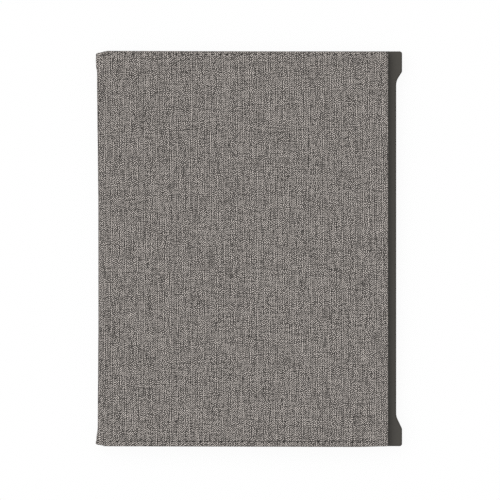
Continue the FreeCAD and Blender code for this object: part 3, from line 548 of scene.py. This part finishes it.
def in_opening(point):
    """Whether a point of the cover's cloth lies in an opening of its upper skirt."""
    return point.y > HALF - EDGE_INSET and any(x0 < point.x < x1 and d0 < TOP - point.z < d1
                                               for x0, x1, d0, d1 in OPENINGS)


def make_cover_cloth():
    """The cover's face with its rounded edges and the skirts over three sides of the deck."""
    skirt = TOP - EDGE_ROUND - COVER_LOW.z
    profile = cross_profile(skirt)
    inner_x = COVER_HIGH.x - EDGE_INSET
    columns = rounded(steps(COVER_LOW.x, inner_x, GRID_STEP))
    columns |= rounded(steps(COVER_LOW.x, PULL_START, PULL_STEP))
    columns |= rounded(x for opening in OPENINGS for x in opening[:2])
    points, flat = [], []
    for x in sorted(columns):
        for y, drop, along in profile:
            points.append((x, drawn_in(x, y), TOP - drop))
            flat.append((x, along))
    faces = [face for face in grid_faces(len(columns), len(profile))
             if not in_opening(sum((Vector(points[v]) for v in face), Vector()) / 4)]

    # The free edge: columns that turn round the corners and run along the side
    inner = HALF - EDGE_INSET
    edge = edge_profile(skirt)
    rim = [(-inner, Vector((math.sin(t), -math.cos(t)))) for t in QUARTER_TURN]
    rim += [(y, Vector((1.0, 0.0))) for y, drop, along in profile
            if -inner < y < inner and drop < EDGE_ROUND / 2]
    rim += [(inner, Vector((math.cos(t), math.sin(t)))) for t in QUARTER_TURN]
    first = len(points)
    for y, out in rim:
        points.append((inner_x, drawn_in(inner_x, y), TOP - hem_dip(y)))
        flat.append((inner_x, y))
        for away, drop, used in edge:
            points.append((inner_x + out.x * away, drawn_in(inner_x, y + out.y * away),
                           TOP - max(drop, hem_dip(y))))
            flat.append((inner_x + out.x * used, y + out.y * used))
    faces += [face[::-1] for face in grid_faces(len(rim), len(edge) + 1, first)]
    piece = weld(new_piece("cover_cloth", points, faces, flat))
    wear(piece, weave, microfibre)
    thicken(piece, CLOTH - COVER_SLACK, 1)
    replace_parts(piece, "front_fabric")
    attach(piece, "cover")
    return piece, skirt


def make_hem_stitches():
    """Stitches along both hems, with near-black beads between them that paint the shade in the needle holes, and
    beside each lower stitch a near-black bead that paints the crease's shadow.
    """
    stitches, shade_beads = ([], []), ([], [])

    def on_cloth(x, y, sink):
        return Vector((x, drawn_in(x, y), TOP - sink))

    for line, (start, pitch, on, out) in zip(HEM_LINES, (STITCHES_TOP, STITCHES_BOTTOM)):
        for i in range(int((COVER_HIGH.x - HEM_END - start) / pitch)):
            hole = start + i * pitch
            middle = hole + on
            # A near-black bead at each needle hole paints the shade in the hole
            bead(*shade_beads, on_cloth(hole, line, HEM_DIP), NEEDLE_HOLE_SHADE)
            bead(*stitches, on_cloth(middle, line - out, HEM_DIP), STITCH)
            if out:
                # Beside each lower stitch a long near-black bead paints the shadow of the hem's crease
                bead(*shade_beads, on_cloth(middle, line + out, HEM_DIP / 2), CREASE_SHADOW)
    # The second piece holds the beads of painted shade in the needle holes and the painted crease shadow
    pieces = [wear(weld(new_piece("hem_stitches", *stitches)), thread),
              wear(weld(new_piece("hem_shade_beads", *shade_beads)), hole_shade)]
    for piece in pieces:
        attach(piece, "cover")
    return pieces


# Flat cloths, and what each is laid on


def flat_skin(name, node, axis, side, material, body):
    """Cloth cut to the flat face of a CAD sheet that looks along an axis, to its low or high side."""
    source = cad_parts[node].data
    low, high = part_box(node)
    level = (low, high)[side > 0][axis]
    faces = [list(p.vertices) for p in source.polygons if p.normal[axis] * side > FACE_TILT
             and all(abs(source.vertices[v].co[axis] - level) < FACE_REACH for v in p.vertices)]
    points = [v.co.copy() for v in source.vertices]
    below = axis == 2 and side < 0
    flat = [(2 * FOLD_START - FOLD_PATH - p.x if below else p[2 - axis], p.y) for p in points]
    piece = weld(new_piece(name, points, faces, flat))
    bm = bmesh.new()
    bm.from_mesh(piece.data)
    bmesh.ops.delete(bm, geom=[v for v in bm.verts if not v.link_faces], context="VERTS")
    bmesh.ops.dissolve_limit(bm, angle_limit=MERGE_ANGLE, verts=bm.verts, edges=bm.edges, delimit={"UV"})
    for face in bm.faces:
        if face.normal[axis] * side < 0:
            face.normal_flip()
        face.smooth = False
    bm.to_mesh(piece.data)
    bm.free()
    thickness = high[axis] - low[axis]
    thicken(wear(piece, material), thickness)
    soften(piece, thickness * SOFT_SHARE)
    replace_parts(piece, node)
    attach(piece, body)


def make_flat_cloths():
    """The cloths of the back and the kickstand, the tray's liner and the spine's lining."""
    flat_skin("back_cloth", "back_fabric", 2, -1, weave, "tray")
    flat_skin("kickstand_cloth", "kickstand_fabric", 2, -1, weave, "kickstand")
    flat_skin("tray_liner_cloth", "tray_liner", 2, 1, microfibre, "tray")
    flat_skin("spine_lining_cloth", "spine_lining", 0, 1, microfibre, "spine")


# Keys

LEGENDS = {
    "function_keys": ["esc"] + [f"F{n}" for n in range(1, 13)] + ["del"],
    "number_keys": list("`1234567890-="),
    "backspace_key": ["back"],
    "tab_key": ["tab"],
    "upper_letter_keys": list("QWERTYUIOP[]\\"),
    "caps_key": ["caps"],
    "home_letter_keys": list("ASDFGHJKL;'"),
    "return_key": ["return"],
    "left_shift_key": ["shift"],
    "lower_letter_keys": list("ZXCVBNM,./"),
    "right_shift_key": ["shift"],
    "modifier_keys": ["fn", "ctrl", "alt"],
    "left_meta_key": ["cmd"],
    "space_bar": [""],
    "right_meta_key": ["cmd"],
    "right_alt_key": ["alt"],
    "left_arrow_key": ["left"],
    "up_arrow_key": ["up"],
    "down_arrow_key": ["down"],
    "right_arrow_key": ["right"],
}
LETTER_SIZE = 4.4 * MM
WORD_SIZE = 2.7 * MM
TEXT_STEPS = 3

# Arrow keys: the way each points, down and left as the user reads it; the arrow's tip, wings and share of tail
ARROWS = {"left": (0, 1), "right": (0, -1), "up": (-1, 0), "down": (1, 0)}
ARROW_TIP, ARROW_WING, ARROW_TAIL = 1.6 * MM, 1.3 * MM, 0.6

# Key caps: the flange hidden under the deck, the corners, and the rings of a cap in millimetres: how far in
# from its side, and how far below its face
FLANGE_REACH = 0.9 * MM
FLANGE_SPACE = 0.6 * MM
KEY_CORNER = 1.4 * MM
LEAST_CORNER = 0.4 * MM
KEY_CORNER_STEPS = 5
CAP_RINGS = [(0.0, 3.15), (0.0, 0.60), (0.06, 0.28), (0.22, 0.08), (0.5, 0.0), (1.5, 0.07), (2.9, 0.12)]
CAP_MIDDLE = 0.6 * MM
DISH = 0.12 * MM
INK_LIFT = 0.14 * MM

# The small bars on two keys that fingers find by touch
HOME_KEYS = ("F", "J")
HOME_BAR = (0.28 * MM, 1.7 * MM, 0.28 * MM)
HOME_BAR_REACH = 4.6 * MM

# Rings of a silicone dome in millimetres: its radius, and how far that lies from the tip towards the membrane
DOME_RINGS = [(1.2, 0.0), (1.5, 0.08), (1.6, 0.3), (1.85, 0.75), (2.3, 1.1), (2.6, 1.2), (2.6, 1.3)]
DOME_SIDES = 16


def key_spaces(node, count):
    """The outline of each cap of a node, the first at the user's left: x and y from low to high."""
    low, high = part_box(node)
    pitch = (high.y - low.y + FLANGE_SPACE) / count
    for i in range(count):
        top = high.y - i * pitch
        yield (low.x + FLANGE_REACH, high.x - FLANGE_REACH,
               top - pitch + FLANGE_SPACE + FLANGE_REACH, top - FLANGE_REACH)


def ring_points(space, inset, z):
    """A rounded rectangle inside a key's outline."""
    x0, x1, y0, y1 = space[0] + inset, space[1] - inset, space[2] + inset, space[3] - inset
    radius = max(KEY_CORNER - inset, LEAST_CORNER)
    corners = ((x1 - radius, y1 - radius, 0), (x0 + radius, y1 - radius, 1),
               (x0 + radius, y0 + radius, 2), (x1 - radius, y0 + radius, 3))
    ring = []
    for x, y, quarter in corners:
        for k in range(KEY_CORNER_STEPS + 1):
            turn = math.pi / 2 * (quarter + k / KEY_CORNER_STEPS)
            ring.append((x + radius * math.cos(turn), y + radius * math.sin(turn), z))
    return ring


def add_rings(points, faces, rings):
    """Adds a closed body made of rings of points, one after the other."""
    first, count = len(points), len(rings[0])
    for ring in rings:
        points += ring
    for r in range(len(rings) - 1):
        for k in range(count):
            a, b = first + r * count + k, first + r * count + (k + 1) % count
            faces.append((a, b, b + count, a + count))
    faces.append(tuple(first + k for k in range(count)))
    faces.append(tuple(first + (len(rings) - 1) * count + k for k in range(count)))


def add_cap(points, faces, space, face_z):
    """Adds one key cap with a soft edge and a shallow dish."""
    room = min(space[1] - space[0], space[3] - space[2]) / 2 - CAP_MIDDLE
    add_rings(points, faces, [ring_points(space, inset * MM, face_z + depth * MM)
                              for inset, depth in CAP_RINGS if inset * MM <= room])


def add_dome(points, faces, x, y, tip):
    """Adds one silicone dome, with its tip towards the key."""
    turns = [2 * math.pi * k / DOME_SIDES for k in range(DOME_SIDES)]
    add_rings(points, faces, [[(x + radius * MM * math.cos(t), y + radius * MM * math.sin(t), tip + up * MM)
                               for t in turns] for radius, up in DOME_RINGS])


def text_shape(text, size):
    """Points and faces of a word laid flat, with its middle at the origin."""
    curve = bpy.data.curves.new("legend", "FONT")
    curve.body, curve.size, curve.resolution_u = text, size, TEXT_STEPS
    curve.align_x, curve.align_y = "CENTER", "CENTER"
    maker = bpy.data.objects.new("legend", curve)
    mesh = bpy.data.meshes.new_from_object(maker)
    shape = [v.co.copy() for v in mesh.vertices], [list(p.vertices) for p in mesh.polygons]
    bpy.data.objects.remove(maker)
    bpy.data.curves.remove(curve)
    bpy.data.meshes.remove(mesh)
    return shape


def legend_shape(text):
    """Points in the key's plane, right and up as the user reads it, with their faces."""
    if text in ARROWS:
        down, left = ARROWS[text]
        heading, side = Vector((-left, -down)), Vector((down, -left))
        tail = -heading * ARROW_TIP * ARROW_TAIL
        corners = [heading * ARROW_TIP, tail + side * ARROW_WING, tail - side * ARROW_WING]
        return [Vector((c.x, c.y, 0)) for c in corners], [[0, 1, 2]]
    return text_shape(text, LETTER_SIZE if len(text) == 1 else WORD_SIZE)


def add_legend(points, faces, text, middle):
    """Adds a key's legend, printed just over the floor of its dish."""
    shape, shape_faces = legend_shape(text)
    first = len(points)
    points += [middle + Vector((-p.y, -p.x, DISH - INK_LIFT)) for p in shape]
    faces += [[first + v for v in face] for face in shape_faces]


def make_keys():
    """For each key node its caps, the domes under them and its legends."""
    dome_low, dome_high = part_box("rubber_domes")
    for node, texts in LEGENDS.items():
        face_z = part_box(node)[0].z
        cap_mesh, dome_mesh, ink_mesh = ([], []), ([], []), ([], [])
        for space, text in zip(key_spaces(node, len(texts)), texts):
            middle = Vector(((space[0] + space[1]) / 2, (space[2] + space[3]) / 2, face_z))
            add_cap(*cap_mesh, space, face_z)
            add_dome(*dome_mesh, middle.x, middle.y, dome_low.z)
            if text in HOME_KEYS:
                bead(*cap_mesh, middle + Vector((HOME_BAR_REACH, 0, DISH)), HOME_BAR)
            if text:
                add_legend(*ink_mesh, text, middle)
        caps = weld(new_piece(f"{node}_caps", *cap_mesh))
        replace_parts(wear(caps, key_plastic), node)
        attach(caps, node)
        domes = weld(new_piece(f"{node}_domes", *dome_mesh))
        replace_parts(wear(domes, silicone), "rubber_domes")
        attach(domes, "cover")
        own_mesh(domes)
        if ink_mesh[0]:
            ink = wear(new_piece(f"{node}_legends", *ink_mesh), legend_ink)
            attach(ink, node)


# Stage

def make_floor():
    """A white floor that lets the eye through to what moves below it and still shows a soft shadow."""
    half = FLOOR_HALF
    corners = [(-half, -half, 0), (half, -half, 0), (half, half, 0), (-half, half, 0)]
    floor = new_piece("floor", corners, [(0, 1, 2, 3)])
    floor.location.z = -FLOOR_DROP
    material = bpy.data.materials.new("floor")
    material.use_nodes = True
    tree = material.node_tree
    tree.nodes.clear()
    output = tree.nodes.new("ShaderNodeOutputMaterial")
    mix = tree.nodes.new("ShaderNodeMixShader")
    clear = tree.nodes.new("ShaderNodeBsdfTransparent")
    matt = tree.nodes.new("ShaderNodeBsdfDiffuse")
    path = tree.nodes.new("ShaderNodeLightPath")
    share = tree.nodes.new("ShaderNodeMath")
    matt.inputs["Color"].default_value = (1, 1, 1, 1)
    share.operation = "MULTIPLY"
    share.inputs[1].default_value = FLOOR_SHARE
    tree.links.new(path.outputs["Is Camera Ray"], share.inputs[0])
    tree.links.new(share.outputs[0], mix.inputs["Fac"])
    tree.links.new(clear.outputs[0], mix.inputs[1])
    tree.links.new(matt.outputs[0], mix.inputs[2])
    tree.links.new(mix.outputs[0], output.inputs["Surface"])
    wear(floor, material)


def make_light():
    """A white room with a broad soft light overhead, a little from the spine's side."""
    world = bpy.data.worlds.new("studio")
    bpy.context.scene.world = world
    world.use_nodes = True
    tree = world.node_tree
    background = tree.nodes["Background"]
    background.inputs["Color"].default_value = (1, 1, 1, 1)
    path = tree.nodes.new("ShaderNodeLightPath")
    seen = tree.nodes.new("ShaderNodeMath")
    through = tree.nodes.new("ShaderNodeMath")
    seen.operation = through.operation = "MAXIMUM"
    strength = tree.nodes.new("ShaderNodeMapRange")
    strength.inputs["To Min"].default_value = FILL
    tree.links.new(path.outputs["Is Camera Ray"], seen.inputs[0])
    tree.links.new(path.outputs["Is Glossy Ray"], seen.inputs[1])
    tree.links.new(seen.outputs[0], through.inputs[0])
    tree.links.new(path.outputs["Is Transmission Ray"], through.inputs[1])
    tree.links.new(through.outputs[0], strength.inputs["Value"])
    tree.links.new(strength.outputs[0], background.inputs["Strength"])
    lamp = bpy.data.lights.new("overhead", "SUN")
    lamp.energy = OVERHEAD
    lamp.angle = OVERHEAD_SPREAD
    light = bpy.data.objects.new("overhead", lamp)
    light.rotation_euler = OVERHEAD_TILT
    bpy.context.collection.objects.link(light)


def make_camera():
    """A distant camera that looks straight down on the closed case."""
    data = bpy.data.cameras.new("camera")
    data.lens = data.sensor_width * CAMERA_DISTANCE / VIEW_WIDTH
    data.clip_end = CAMERA_REACH
    camera = bpy.data.objects.new("camera", data)
    camera.location = (*VIEW_CENTRE, TOP + CAMERA_DISTANCE)
    bpy.context.collection.objects.link(camera)
    bpy.context.scene.camera = camera


make_camera()
make_spine_cloth()
cover_cloth, cover_skirt = make_cover_cloth()
stitches = make_hem_stitches()
make_flat_cloths()
make_keys()
make_floor()
make_light()
bpy.context.scene.view_settings.view_transform = "Standard"

# The default prefilter of the denoiser smears the weave
bpy.context.scene.cycles.denoising_prefilter = "NONE"
